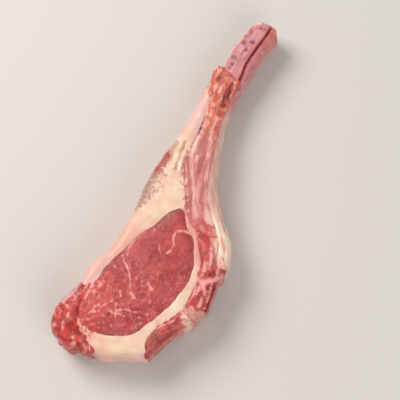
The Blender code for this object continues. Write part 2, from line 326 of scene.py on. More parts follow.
def make_piece(name, node, slot, place, flow, look, **masks):
    """A closed mesh from rows of loops: four-cornered faces between rows, and a fan of
    triangles from each end row to its middle. The flow and each mask are kept at its points.
    It stands for a node of the frame and takes its finish from its look. The slot is not used."""
    rows, around = place.shape[:2]
    points = (with_ends(above_floor(place)) + TO_FRAME) * MM
    index = np.arange(rows * around).reshape(rows, around)
    after = np.roll(index, -1, axis=1)
    quads = np.stack((index[:-1], index[1:], after[1:], after[:-1]), axis=-1).reshape(-1, 4)
    first = np.stack((index[0], after[0], np.full(around, rows * around)), axis=-1)
    last = np.stack((after[-1], index[-1], np.full(around, rows * around + 1)), axis=-1)
    mesh = bpy.data.meshes.new(name)
    mesh.from_pydata(points.tolist(), [], [*quads.tolist(), *first.tolist(), *last.tolist()])
    mesh.shade_smooth()
    layer = mesh.attributes.new(name="flow", type="FLOAT_VECTOR", domain="POINT")
    layer.data.foreach_set("vector", (with_ends(flow) * MM).astype(np.float32).ravel())
    for mask, values in masks.items():
        values = np.clip(np.broadcast_to(values, (rows, around)), 0, 1)
        values = np.concatenate((values.ravel(), [values[0].mean(), values[-1].mean()]))
        layer = mesh.attributes.new(name=mask, type="FLOAT", domain="POINT")
        layer.data.foreach_set("value", values.astype(np.float32))
    mesh.materials.append(look)
    piece = in_scene(name, mesh)
    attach(piece, "root")
    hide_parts(node)


def tint(code):
    """A screen colour written as six hex digits, as linear light."""
    screen = np.array([int(code[k : k + 2], 16) for k in (0, 2, 4)]) / 255
    linear = np.where(screen <= 0.04045, screen / 12.92, ((screen + 0.055) / 1.055) ** 2.4)
    return (*linear.tolist(), 1)


class Value:
    """A socket of a material. An expression on values adds the Math nodes that work it out."""

    def __init__(self, look, socket):
        self.look = look
        self.socket = socket

    def __add__(self, other):
        return self.look.maths("ADD", self, other)

    def __sub__(self, other):
        return self.look.maths("SUBTRACT", self, other)

    def __rsub__(self, other):
        return self.look.maths("SUBTRACT", other, self)

    def __mul__(self, other):
        return self.look.maths("MULTIPLY", self, other)

    __radd__ = __add__
    __rmul__ = __mul__


class Look:
    """A material being made, around its one Principled shader."""

    def __init__(self, name, **constants):
        self.material = bpy.data.materials.new(name)
        self.material.use_nodes = True
        self.tree = self.material.node_tree
        self.shader = self.tree.nodes["Principled BSDF"]
        for key, value in constants.items():
            self.shader.inputs[key.replace("_", " ")].default_value = value
        self.place = self.add("TexCoord", out="Object")

    def add(self, kind, settings=None, sockets=None, out=0):
        """Any node: its kind, its settings, and the values or links of its sockets."""
        node = self.tree.nodes.new("ShaderNode" + kind)
        for key, value in (settings or {}).items():
            setattr(node, key, value)
        for key, value in (sockets or {}).items():
            self.feed(node.inputs[key], value)
        return Value(self, node.outputs[out])

    def feed(self, socket, value):
        """Links a value to a socket, or sets the socket to a plain number or colour."""
        if isinstance(value, Value):
            self.tree.links.new(value.socket, socket)
        else:
            socket.default_value = value

    def maths(self, operation, one, other):
        """A Math node on two values or numbers."""
        return self.add("Math", {"operation": operation}, {0: one, 1: other})

    def mask(self, name):
        """A mask that is kept at the points of the mesh."""
        return self.add("Attribute", {"attribute_name": name}, out="Fac")

    def step(self, value, low, high):
        """0 below low, 1 above high, smooth between."""
        sockets = {"Value": value, "From Min": low, "From Max": high}
        return self.add("MapRange", {"interpolation_type": "SMOOTHSTEP"}, sockets)

    def grain(self, size, detail=3, at=None):
        """Noise whose lumps are about size millimetres across."""
        sockets = {"Vector": at or self.place, "Scale": 1 / (size * MM), "Detail": detail}
        return self.add("TexNoise", None, sockets)

    def strands(self, size, longer=6):
        """Noise drawn out along the piece, longer times as long as it is wide."""
        flow = self.add("Attribute", {"attribute_name": "flow"}, out="Vector")
        sockets = {0: flow, 1: (1, 1 / longer, 0.6)}
        return self.grain(size, at=self.add("VectorMath", {"operation": "MULTIPLY"}, sockets))

    def swirled(self, size, amount):
        """The place on the piece pushed about by a coarser noise."""
        sockets = {"Vector": self.place, "Scale": 1 / (size * MM)}
        push = self.add("TexNoise", None, sockets, out="Color")
        sockets = {0: push, 1: (amount * MM,) * 3, 2: self.place}
        return self.add("VectorMath", {"operation": "MULTIPLY_ADD"}, sockets)

    def cells(self, size, at):
        """Distance to the border between cells about size millimetres across."""
        sockets = {"Vector": at, "Scale": 1 / (size * MM)}
        return self.add("TexVoronoi", {"feature": "DISTANCE_TO_EDGE"}, sockets, out="Distance")

    def blend(self, one, other, amount):
        """A colour on the way from one to the other, each a value or a screen colour's code."""
        one, other = (tint(c) if isinstance(c, str) else c for c in (one, other))
        return self.add("Mix", {"data_type": "RGBA"}, {0: amount, 6: one, 7: other}, out=2)

    def paint(self, colour, amount):
        """Lays a colour over those laid before."""
        self.colour = self.blend(self.colour, colour, amount)

    def mark(self, name, colour, amount, grain, low=0.2, high=1):
        """Paints where a mask is, made stronger and weaker by a grain, so that the edge of the
        mark is soft and uneven."""
        self.paint(colour, self.step(self.mask(name) * (grain * 3.0 - 0.5), low, high) * amount)

    def finish(self, roughness, height, depth, coat):
        """Joins the shader's sockets: depth is how deep the bumps are, in millimetres."""
        bump = self.add("Bump", None, {"Height": height, "Distance": depth * MM}, out="Normal")
        sockets = {"Base Color": self.colour, "Roughness": roughness, "Coat Weight": coat, "Normal": bump}
        for key, value in sockets.items():
            self.feed(self.shader.inputs[key], value)
        return self.material


def damp_look(name, under=0.15, spread=(1.0, 0.25, 0.2), depth=1.2, film=0.1, glint=0.45):
    """A look for damp tissue: the share of light that passes under its surface, how far red,
    green and blue go there, times a depth in millimetres, the roughness of its film of
    moisture, and the strength of its highlights."""
    return Look(
        name, Subsurface_Weight=under, Subsurface_Radius=spread, Subsurface_Scale=depth * MM,
        Coat_Roughness=film, Specular_IOR_Level=glint,
    )


BONE_LEFT = curve((0.6, 88.3), (-1.8, 86.2), (-3.9, 79), (-5, 70), (-5.2, 62))
BONE_RIGHT = curve(
    (9.2, 87.6), (10.8, 85.2), (9.9, 77), (8.7, 66), (7.9, 54), (8.6, 42), (12, 28.5),
    (18, 13.5), (27, 2), (33.6, -4.6), (37.2, -11), (38.4, -17.6),
)
BONE_SEAM = curve(
    (4.7, 58), (5, 50), (6.3, 39), (9.4, 25.5), (16.4, 7), (23.3, -2), (30.4, -9.8), (37.2, -18.2),
)
SHOULDER = curve((-5.2, 62), (-0.5, 60.6), (4.7, 58))
BLOOD_LINE = curve(
    (6.4, 87.2), (6.1, 83), (5.5, 79), (4.9, 75), (4.5, 71.5), (4.3, 68), (4.6, 64), (4.7, 57),
)
BONE_EDGE_LINE = (0.45, 0.4, (5.4, 46), (6.6, 38), (8.4, 31), (10.6, 24.5))
BONE_SIDES = (
    stretch(BONE_LEFT, (-1.8, 86.2), (-5.2, 62)), stretch(BONE_RIGHT, (10.8, 85.2), (38.4, -17.6)),
)
MAUVE_SPOTS = (
    (-1, 76.2, 1.2, 1.4), (2.3, 77.9, 1.2, 1.4), (-1.6, 67.9, 1.4, 1.5), (-1.6, 65.4, 0.9, 1.1),
    (-0.8, 82.6, 1.1, 1.1), (2.7, 85.4, 0.9, 0.9), (-2.2, 79.5, 0.8, 1), (-1.8, 63.2, 0.9, 1),
    (1.4, 73.5, 0.7, 0.9), (7.4, 67.5, 0.7, 0.7), (7.8, 78, 0.8, 0.7), (6.8, 61.5, 0.6, 0.7),
)
# The first two warm spots are the bone's own rose-orange near its tip; the two lower, weaker ones are
# painted light on its shaded right side.
WARM_SPOTS = (
    (9.2, 85.5, 3.2, 1), (8.6, 80, 2.6, 0.8), (7.8, 72, 3, 0.35), (7, 64, 3, 0.3),
)
GLOW_SPOT = (37.5, -18.5, 2.2, 1.6)


def bone_look():
    """Pink bone with paler strands along it, cream towards its thick end, and marks over both."""
    look = damp_look("damp_bone", under=0.12, spread=(0.9, 0.35, 0.25), film=0.18)
    strands = look.strands(0.8, 8.0)
    broad = look.strands(1.8, 7.0)
    clouds = look.grain(3.0)
    fine = look.grain(0.5)
    look.colour = look.blend("c97b80", "e09c9c", look.step(strands, 0.3, 0.7))
    look.paint("b06a78", look.step(clouds, 0.48, 0.7) * 0.55)
    # Warm orange: the bone's own colour near the tip, and painted light on the shaded right side lower
    # down.
    look.paint("d9705f", look.mask("warm") * 0.7)
    beige = look.blend("e0a394", "f2cbb9", look.step(strands, 0.35, 0.7))
    look.paint(beige, look.mask("beige"))
    cream = look.blend("ffd0b8", "fff0da", look.step(strands, 0.4, 0.62))
    cream = look.blend(cream, "e68a78", look.step(broad, 0.5, 0.62) * 0.85)
    look.paint(cream, look.mask("cream"))
    membrane = look.blend("e3ab9b", "f3d3c2", look.step(look.grain(6.0), 0.36, 0.64))
    look.paint(membrane, look.mask("skin") * 0.8)
    # A painted highlight: a pale streak along the bone's upper left edge.
    look.mark("margin", "ecc9c3", 0.75, clouds)
    look.mark("spots", "8f505b", 0.95, clouds, 0.1)
    marrow = look.blend("7e2a26", "c06a58", look.step(look.grain(0.9), 0.4, 0.6))
    look.paint(marrow, look.mask("sawn"))
    look.paint("c04a44", look.mask("glow") * 0.6)
    look.paint("701012", look.step(look.mask("blood") + 0.5 * fine, 0.4, 0.8))
    height = strands * 0.6 + fine * 0.4
    return look.finish(0.34 + 0.2 * fine, height, 0.22, 0.25 * look.step(clouds, 0.35, 0.6))


bare = (BONE_LEFT, stretch(BONE_RIGHT, (9.2, 87.6), (8.5, 62)), BONE_ROUND, BONE_ROUND)
shoulder = (SHOULDER, stretch(BONE_RIGHT, (8.5, 62), (8, 57)), BONE_ROUND, BONE_ROUND)
strip = (BONE_SEAM, stretch(BONE_RIGHT, (8, 57), (38.4, -17.6)), SEAM_ROUND, BONE_ROUND)
place, _, flow = band(
    [bare, shoulder, strip], BONE_SIDES, radius=BONE_ROUND, inner=20, walls=12, crown=0.2, swell=0.25,
    dome=1.3,
)
marked = wandering(place, 0.22, 3)
x, y, z = np.moveaxis(place, -1, 0)
upper = smooth(6, 11, z)
skin = (1 - by_face(place)) * smooth(50, 36, y)
blood = drawn(marked, (0.5, 1.1, BLOOD_LINE)) * (1.0 - 0.25 * np.abs(noise(place, 5))) * upper
seam_line = drawn(marked, BONE_EDGE_LINE) * smooth(-0.2, 0.4, noise(place, 3)) * upper
sawn = smooth(87.2, 88, y + 0.08 * (x - 0.6))
sawn = sawn * smooth(1.05, 0.8, np.hypot((x - 4.8) / 4.4, (z - 9.6) / 4.4))
ridged = noise(flow * (1, 0.12, 1), 1.1) * 0.07 + noise(place, 3.5) * 0.22
ridged = ridged - 0.28 * blood - 0.12 * seam_line
dip = 1.5 * smooth(5, 1, distance_to(place, SHOULDER)) * upper
place = strayed(raised(place, ridged) - dip[..., None] * (0, 0, 1))
glow = dotted(marked, GLOW_SPOT) * by_face(place)
make_piece(
    "bare_rib_bone", "rib_bone", "bone", place, flow, bone_look(),
    cream=smooth(6, -3, y), beige=smooth(50, 38, y) * 0.9 + 0.4 * smooth(12, 9, z),
    # The pale mark along the bone's left edge is a painted highlight.
    margin=drawn(marked, (1.3, 1.2, BONE_LEFT)) * upper, spots=dotted(marked, *MAUVE_SPOTS) * upper,
    warm=dotted(marked, *WARM_SPOTS), sawn=sawn, skin=skin, blood=np.maximum(blood, seam_line * 0.8),
    glow=np.maximum(drawn(marked, (1.2, 0.9, BLOOD_LINE)) * upper, glow),
)

# Fat cap
# The outer fat down the left side of the chop, cream and smooth where it is cut, pinker where
# it thins out, with a scrap of red muscle and a greyish skin at its outer edge that also
# carries painted shade, and tan painted shade in its folds. It grows round the eye muscle.

CAP_OUTER = curve(
    (-6.9, 50.2), (-6.3, 40), (-6.7, 28), (-8.6, 13), (-9.4, 2), (-8.2, -11), (-8.6, -23),
    (-9.6, -31.5), (-12.9, -38), (-14, -44), (-13.9, -48.8),
)
CAP_SEAM = curve((-6, 50.6), (-3, 46), (-1.3, 37), (0.3, 22), (3.6, 9.5), (7.8, 3.2), (9.5, -1))
EYE_LEFT = curve(
    (9.5, -2.6), (6.2, -6.2), (3.2, -13.5), (-1.6, -21.5), (-4.6, -30), (-7.4, -39), (-8.2, -47),
    (-9.2, -54), (-8, -61), (-4.6, -64.8), (-1, -66.3),
)
CAP_SCRAP = (2.3, 1.5, (-8, 15.2), (-7.2, 11.5), (-7.6, 8))
# Folds of the fat cap, dipped as creases and painted tan in them as painted shade.
CAP_SHADED_FOLDS = (
    (0.8, 1.2, (-2.6, 24), (-2.2, 19.6), (-1.7, 15.6), (-0.6, 11)),
    (0.8, 1.2, (0.9, 18), (2, 13.5), (3.4, 10.4)), (1.5, 2.8, (-6.9, 22), (-6.6, 19), (-6, 15.8)),
    (0.5, 0.7, (-4.6, 17.6), (-4.2, 14.6)),
)
CAP_YELLOW = (
    (4.2, 1, 3, 0.9), (-1, -10.5, 3.4, 0.8), (-2.4, -17, 1.6, 0.5), (-4, 21, 1.8, 0.9),
)
CAP_SPECKS = (
    (-7.4, 6.1, 1.5, 1.4), (-5.3, -0.2, 1, 1), (-6.4, -2.9, 1.3, 1.1), (-4.6, -4.9, 0.8, 0.9),
    (-2, 1.6, 0.7, 0.9), (-1, 0.3, 0.6, 0.8), (-3.8, -1, 0.7, 0.7), (-4.8, 3, 0.8, 0.8),
    (-2.6, 6.6, 0.6, 0.6), (-4.6, -3.6, 0.7, 0.6), (-6.2, 0.6, 0.8, 0.7), (-5.8, 6, 0.8, 0.8),
)


def fat_look():
    """Cream fat in soft clouds with pinker strands, and marks over it."""
    look = damp_look("cut_fat", under=0.22, spread=(1.0, 0.55, 0.4), depth=1.6, film=0.22, glint=0.42)
    clouds = look.grain(5.0)
    strands = look.strands(1.3)
    fine = look.grain(0.6)
    look.colour = look.blend("f1c6ae", "f7d9c0", look.step(clouds, 0.35, 0.65))
    look.paint("eeb79e", look.step(strands, 0.56, 0.72) * 0.35)
    look.paint("f0dbb0", look.mask("yellow") * 0.5)
    look.paint("eba395", look.mask("pink"))
    # Tan: on the fat cap painted shade in its folds, on the strip of side fat its own tan.
    look.mark("tan", "c08d70", 0.85, strands, 0.0, 1.4)
    look.paint("ecc2bd", look.mask("lilac") * 0.8)
    look.mark("specks", "b3706a", 0.85, fine, 0.1, 1.2)
    # Greyish brown at the fat cap's outer edge: a greyish skin, with painted shade over it.
    look.mark("grey", "a3776b", 0.9, look.grain(1.1, 4.0), 0.0, 1.3)
    look.mark("red", "ae4448", 0.95, fine, 0.15, 0.9)
    height = clouds * 0.5 + strands * 0.3 + fine * 0.3
    return look.finish(0.36 + 0.2 * fine, height, 0.28, 0.2 * look.step(clouds, 0.3, 0.6))


cap_inner = chain(CAP_SEAM, stretch(EYE_LEFT, (9.5, -2.6), (-8.3, -48.8)))
place, edge, flow = band(
    [(CAP_OUTER, cap_inner, MEAT_ROUND, SEAM_ROUND)], (CAP_OUTER,), inner=30, walls=20,
    swell=0.7,
)
marked = wandering(place)
x, y, z = np.moveaxis(place, -1, 0)
rim = distance_to(place, CAP_OUTER)
wall = smooth(3, 0.5, rim) * smooth(17.5, 15, z)
near = y + 4.0 * noise(place, 5)
pink = 0.4 * smooth(22, 34, near) + 0.65 * smooth(-10, -22, near)
pink = pink + 0.4 * smooth(-44, -48, near) + 0.3 * wall
pink = pink + 0.4 * smooth(1.2, 0.2, edge) * smooth(-0.4, 0.5, noise(place, 2.5))
lilac = 0.8 * smooth(25, 33, near) * smooth(49, 42, near)
lilac = lilac + 0.7 * smooth(-30, -40, near) + 0.3 * wall
mottle = smooth(10.5, 7, y) * smooth(-6, -2, y) * smooth(-1, -4, x)
mottle = mottle * smooth(-0.25, 0.35, noise(place, 1.5))
ragged = 3.5 * noise(place, 4)
# A greyish skin along the outer edge, darkened further as painted shade of the outer side.
grey = smooth(5.4, 0.6, rim + 1.6 * noise(place, 1.5)) * smooth(8, 15, z + ragged)
grey = 1.5 * grey * smooth(9.5, 6, y + ragged) * smooth(-15, -6, y + ragged)
fringe = 1.2 * smooth(1.9, 0.7, distance_to(place, CAP_SEAM)) * smooth(-4, 2, y)
fringe = fringe * smooth(26, 18, y) * smooth(-0.1, 0.4, noise(place, 1.6))
specks = np.maximum.reduce((dotted(marked, *CAP_SPECKS), mottle, fringe))
scraps = wall * smooth(0.2, 0.55, noise(flow * (1, 0.18, 1), 2.6))
# The folds are dipped, and their tan is painted shade in the creases.
folds = drawn(marked, *CAP_SHADED_FOLDS) * by_face(place)
neck = smooth(8, 14, y) * smooth(30, 22, y)
lumps = 0.26 * noise(place, 6) + (0.10 + 0.22 * neck) * noise(flow * (1, 0.3, 1), 2)
place = strayed(raised(place, lumps * (smooth(0.3, 2.4, edge) + wall) - 0.3 * folds))
place[..., 1] -= smooth(-44, -48.5, place[..., 1]) * (0.8 + 2.6 * noise(place * (1, 0, 0.6), 1.9))
fat = fat_look()
make_piece(
    "outer_fat", "fat_cap", "fat", place, flow, fat, pink=pink, lilac=lilac, grey=grey,
    tan=folds * smooth(-1, 0.2, noise(place, 1.8)), specks=specks * by_face(place),
    red=drawn(marked, CAP_SCRAP) * smooth(9, 14, z + ragged) + 0.5 * scraps,
    yellow=dotted(marked, *CAP_YELLOW),
)

# Eye muscle
# The large oval muscle of the loin, cut across its fibres: a mosaic of fine bundles in dull
# red, with pale threads and flecks of fat between them, calmer above and livelier below. It
# grows together with the fat on both sides.

EYE_RIGHT = curve(
    (10.3, -2.8), (14.6, -8.8), (20, -12.8), (24.4, -20.5), (26.6, -28), (25.6, -36), (23.4, -44.5),
    (20, -52), (16.4, -58.6), (10, -62.8), (4, -64.9), (-1, -66.3),
)
MARBLING = (
    (0.5, 1, (11.9, -13.2), (12.5, -16), (13.5, -18), (13.8, -20.2), (12.8, -23)),
    (0.6, 0.9, (12, -13), (13.6, -11.6), (15.5, -10.8), (18.5, -11)),
    (0.45, 0.75, (8.2, -21.3), (9.5, -23), (11.2, -24.6)),
    (0.45, 1, (-3.2, -32), (0, -35), (2.5, -37), (4.4, -39.8)),
    (0.8, 1, (12.2, -37.8), (13.2, -38.6), (14.4, -39)),
    (0.4, 0.65, (13.6, -40.6), (15, -42.5), (16.4, -44.6)),
    (0.8, 1, (7.2, -44.6), (8.6, -45.2), (9.8, -45.8)), (0.6, 0.9, (3, -46), (3.6, -47), (4.2, -47.8)),
    (0.6, 0.65, (-4.2, -37.3), (-3.4, -38), (-2.6, -38.9)),
    (0.5, 1, (3.8, -51.2), (5.4, -53.6), (6.4, -56.6)),
    (0.5, 0.9, (2.6, -55.4), (6, -54.6), (9.4, -54.4)),
    (0.45, 0.9, (5.6, -53.6), (8, -51.8), (10.6, -51.2)),
    (0.6, 0.75, (12.4, -51), (15, -49.8), (17.8, -49.2)),
    (0.7, 0.75, (-4, -59.8), (-3.2, -58.8), (-2.2, -58.2)),
    (0.8, 0.5, (17, -53.2), (15.8, -55), (15, -56.8)),
)
DARK_FLECKS = (
    (3.6, -57, 0.8, 1), (1.6, -47.4, 0.6, 0.8), (4.3, -53, 0.5, 0.8), (11.8, -26.6, 0.8, 0.7),
    (13.8, -27.8, 0.6, 0.6), (0.6, -26.2, 0.6, 0.7), (-1.2, -65.6, 0.9, 0.8), (20, -52, 0.6, 0.9),
    (-4.4, -32.5, 0.7, 0.8), (-2.4, -48.5, 0.6, 0.6), (20, -37.6, 0.6, 0.5), (3.4, -41.8, 0.5, 0.5),
    (12.6, -47.8, 0.5, 0.5), (-0.6, -53.6, 0.6, 0.6), (9.4, -49.4, 0.5, 0.6), (7.2, -47.6, 0.4, 0.6),
)
NO_OUTER_SIDE = (EYE_LEFT + 500,)  # a line far off, as the eye muscle has no outer side
# Painted shade: brownish bands along the eye muscle's edges.
RIM_SHADE = (
    (1.5, 0.8, stretch(EYE_RIGHT, (19, -12.4), (26.6, -28))),
    (1.5, 0.7, stretch(EYE_RIGHT, (17, -58), (5, -64.6))),
    (0.8, 0.6, stretch(EYE_RIGHT, (26.6, -28), (22, -48))),
    (0.9, 0.55, stretch(EYE_LEFT, (9.5, -2.6), (-4.6, -30))),
    (2, 0.9, stretch(EYE_LEFT, (9.5, -2.6), (4.6, -9.6))),
    (1, 0.8, stretch(EYE_LEFT, (-6.5, -36), (-8, -44))),
)


def meat_look(name, deep, red, pale):
    """Muscle cut across: red with deeper and paler patches, pale threads where cells that are
    pushed about meet, and marks over both."""
    look = damp_look(name)
    at = look.swirled(2.6, 1.3)
    threads = 1 - look.step(look.cells(1.5, at), 0.0, 0.13)
    threads = threads * look.step(look.grain(2.2, 2.0), 0.42, 0.6)
    blotches = look.grain(2.4, at=at)
    clouds = look.grain(7.0, 2.0)
    fine = look.grain(0.45)
    lively = look.mask("lively")
    look.colour = look.blend(deep, red, look.step(clouds, 0.35, 0.65))
    look.paint("df4440", look.mask("bright") * 0.5)
    look.paint(pale, look.step(blotches, 0.5, 0.7) * (0.15 + 0.28 * lively))
    look.paint(deep, look.step(look.grain(1.3, 2.0), 0.53, 0.66) * (0.25 + 0.85 * lively))
    look.paint(pale, threads * (0.25 + 0.25 * lively))
    # Brownish where the rim mask is: painted shade along the eye muscle's edges, and on the small muscles
    # painted shade near their seams along with their brown streaks.
    look.paint("97594b", look.mask("rim") * look.step(blotches, 0.25, 0.55))
    look.mark("marbling", "fba89d", 0.9, blotches, 0.15, 1.1)
    # Dark flecks, and at the wedge's right edge one spot of painted shade.
    look.mark("dark", "7d1c1c", 0.85, blotches, 0.1, 1.2)
    look.mark("sinew", "fdaea6", 0.9, blotches, 0.05, 0.9)
    look.mark("cream", "fad0b9", 0.95, look.strands(0.7, 4.0), 0.1, 1.3)
    height = blotches * 0.5 + fine * 0.35 - threads * 0.2
    coat = 0.6 * look.step(clouds, 0.3, 0.6) * (1 - look.step(look.mask("rim"), 0.0, 0.6))
    return look.finish(0.3 + 0.25 * fine, height, 0.35, coat)


def flecks(place, seed, count, low, high):
    """Short soft flecks at random places in a box of the drawing: for each, a bell curve that
    is three times as long as it is wide, turned at random, and the strongest one counts."""
    rng = np.random.default_rng(seed)
    total = np.zeros(place.shape[:-1])
    for _ in range(count):
        dx = place[..., 0] - rng.uniform(low[0], high[0])
        dy = place[..., 1] - rng.uniform(low[1], high[1])
        turn = rng.uniform(0, np.pi)
        width = rng.uniform(0.28, 0.5)
        along = dx * np.cos(turn) + dy * np.sin(turn)
        aside = dy * np.cos(turn) - dx * np.sin(turn) + 0.12 * along**2 * rng.uniform(-1, 1)
        fleck = np.exp(-((along / (3.2 * width)) ** 2) - (aside / width) ** 2)
        total = np.maximum(total, fleck * rng.uniform(0.35, 0.85))
    return total


place, edge, flow = band([(EYE_LEFT, EYE_RIGHT)], NO_OUTER_SIDE, inner=70, walls=3, crown=1.1)
marked = wandering(place, 0.35, 1.3)
x, y = place[..., 0], place[..., 1]
lively = smooth(-22, -46, y - 0.4 * x)
low_left = smooth(-38, -48, y) * smooth(8, -2, x)
marbling = np.maximum(drawn(marked, *MARBLING), flecks(marked, 5, 80, (-8, -62), (20, -32)) * 0.85)
marbling = np.maximum(marbling, flecks(marked, 8, 26, (2, -34), (24, -8)) * 0.45)
dark = np.maximum(dotted(marked, *DARK_FLECKS), flecks(marked, 3, 50, (-8, -63), (20, -38)) * 0.7)
rim = drawn(place, *RIM_SHADE) * smooth(-1, 0.2, noise(place, 3))
bundles = 0.13 * noise(place, 1.9) * (0.5 + lively) + 0.22 * noise(place, 6) + 0.05 * noise(place, 0.9)
place = strayed(raised(place, (bundles + 0.06 * marbling - 0.1 * dark) * smooth(0.2, 2, edge)))
make_piece(
    "eye_of_the_loin", "eye_muscle", "meat", place, flow,
    meat_look("eye_muscle", "a93a39", "c64d4a", "e6857c"),
    lively=lively, rim=rim, marbling=marbling, dark=dark, bright=low_left,
)

# Wrapping fat
# The fat round the right and the lower side of the eye muscle: a thin line above, then wider,
# and a thick smooth block at the bottom, whose outer wall is pinker than its cut face. It
# holds the eye muscle, the small muscles and the ragged tip together.

WRAP_SEAM = curve(
    (10, -1.2), (14.4, -5.4), (21, -11), (26.2, -19), (28.5, -26), (28.9, -33.5), (29, -41),
    (24.4, -49.5), (22.3, -56.5), (23, -61.5), (25.8, -65.3),
)
FAT_OUTER = curve((25.8, -65.3), (20.5, -67.7), (14, -70.8), (8.6, -73.3), (4.4, -73.4))
TIP_SEAM = curve((4.4, -73.4), (2, -71), (-1.4, -69.1), (-4, -66.9), (-5.8, -64.2))

WRAP_YELLOW = (
    (1.6, 1, (10, -67.6), (15, -66.6), (20.5, -65)), (1.2, 0.6, (28, -34), (28, -44)),
)

side = (
    stretch(EYE_RIGHT, (10.3, -2.8), (17.6, -56.6)), stretch(WRAP_SEAM, (10, -1.2), (22.3, -57.5)),
)
fat_start = stretch(FAT_OUTER, (25.8, -65.3), (20.5, -67.7))
turn = (
    stretch(EYE_RIGHT, (17.6, -56.6), (12.6, -61.4)),
    chain(stretch(WRAP_SEAM, (22.3, -57.5), (25.8, -65.3)), fat_start), SEAM_ROUND, MEAT_ROUND,
)
below = (
    stretch(EYE_RIGHT, (12.6, -61.4), (-1, -66.3)), stretch(FAT_OUTER, (20.5, -67.7), (4.4, -73.4)),
    SEAM_ROUND, MEAT_ROUND,
)
corner = (stretch(EYE_LEFT, (-1, -66.3), (-6, -63.8)), TIP_SEAM)
place, edge, flow = band(
    [side, turn, below, corner], (FAT_OUTER,), inner=18, walls=18, crown=0.3, swell=0.5,
)
marked = wandering(place)
x, y, z = np.moveaxis(place, -1, 0)
outer = smooth(4, 1, distance_to(place, FAT_OUTER))
pink = 1.1 * smooth(-27, -14, y) + 0.2 * smooth(-42, -32, y) + 0.5 * smooth(0.8, 0, edge)
pink = pink + 0.3 * outer * smooth(0, 16, 16 - x)
pink = pink + dotted(marked, (6, -68.5, 3, 0.35), (22.6, -50.5, 1.6, 0.7), (1, -67, 2, 0.5))
horn = smooth(5, -2, x) * smooth(-60, -64, y)
lumps = 0.22 * noise(place, 5) + 0.08 * noise(flow * (1, 0.25, 1), 1.8)
lumps = lumps * np.maximum(smooth(0.3, 2.4, edge), outer)
place = strayed(raised(place, lumps + (0.7 * horn + 0.25 * outer) * noise(place, 1.7)))
make_piece(
    "wrapping_fat", "wrap_fat", "fat", place, flow, fat, pink=pink + 0.8 * horn,
    red=(0.45 * horn + 0.65 * smooth(-11, -4, y)) * smooth(-0.1, 0.3, noise(place, 1.6)),
    lilac=dotted(marked, (23.6, -65.6, 3, 0.9)) + 0.8 * smooth(18, 13, z) * outer,
    yellow=drawn(place, *WRAP_YELLOW),
)

# Meat along the rib
# The thin layer of meat and sinew between the ribs: brownish bundles between pale pink sheets,
# with an orange-brown ragged end where it was cut and scraped off the bone. It grows on the
# bone's inner side.

RIB_OUTER = curve((-7.8, 60.2), (-7, 55.5), (-6.5, 50.8))
RIB_SEAM = curve((16.3, -7.2), (22, -7.9), (28.6, -7.7))
PALE_SHEETS = (
    (1.2, 0.95, (0.9, 31.5), (1.5, 27), (1.9, 22), (3.6, 17), (6.8, 12), (10.2, 7), (13, 2.5), (16.4, -4)),
    (1, 0.8, (4.2, 40), (5.4, 33), (7.4, 27), (10, 20), (13, 13), (17, 5.5), (22, -1.5), (28, -7.5)),
    (0.7, 0.3, (2.4, 44), (3.6, 38), (4.6, 33)), (0.9, 0.4, (0.4, 52), (1.8, 47), (3, 42)),
    (1.7, 0.9, (16.6, -4), (18, -6.2), (20.2, -9)),
)
BROWN_BUNDLES = (
    (1.5, 0.7, (2.2, 42), (3.4, 36), (4, 31.5)), (1.5, 1, (3, 31.5), (3.8, 27), (4.6, 22)),
    (1.2, 1, (5.8, 20.5), (7.2, 17.4), (8.4, 14.5)),
    (1.2, 0.8, (2.6, 14.6), (5.2, 10), (7.4, 6), (9.4, 1.5)), (1.8, 0.7, (11.8, 0), (14, -3), (17, -6)),
    (0.8, 0.4, (9.4, 30), (12, 22), (14.5, 15)),
    (1.2, 2, (1.6, 17.5), (3.6, 13), (5.7, 10.3), (7.6, 7.5), (9.6, 4.6), (11.4, -0.2)),
    (0.35, 0.8, (6.3, 19.1), (9.2, 20.8), (12.2, 22.2)),
)
TAN_PATCHES = (
    (-3.6, 57.2, 1.7, 1), (-3, 49.8, 1.5, 0.9), (-2, 46.4, 1.5, 0.9), (3.2, 57.2, 1.9, 0.8),
    (1.8, 42, 1.9, 1), (0.6, 38, 1.6, 0.9), (3.4, 36, 1.7, 0.9), (2.6, 33, 1.5, 0.9),
)
# Cracks between the strands, dipped and painted near-black as painted shade.
SHADED_CRACKS = (
    (0.8, 1, (-1.6, 39.2), (-0.8, 35.8), (-0.1, 32.8), (0.3, 30.6)),
    (0.5, 0.8, (-0.1, 28), (0.2, 24.4), (0.6, 21)), (0.35, 0.55, (2.2, 12.6), (4.4, 9)),
    (0.4, 0.55, (7.4, 4.6), (9.4, 0.6)),
)
PEACH_PATCHES = (
    (-6.8, 59.4, 1.5, 1), (-1.2, 60.4, 1.5, 0.9), (1.4, 60, 1.2, 0.8), (-6.2, 53, 1, 0.8),
    (-5.4, 49.4, 1, 0.9), (0.4, 54, 1.2, 0.6), (-4.2, 44.6, 1, 0.9), (-2.7, 41.4, 1.5, 1.4),
)
BLOOD_SPOT = (1.2, 2.1, (3.4, 55.4), (3.2, 52), (3.3, 49.6), (4, 46.2))
RAGGED_END = curve((-7.8, 60.2), (-5.2, 62), (-0.5, 60.6), (4.7, 57.6))


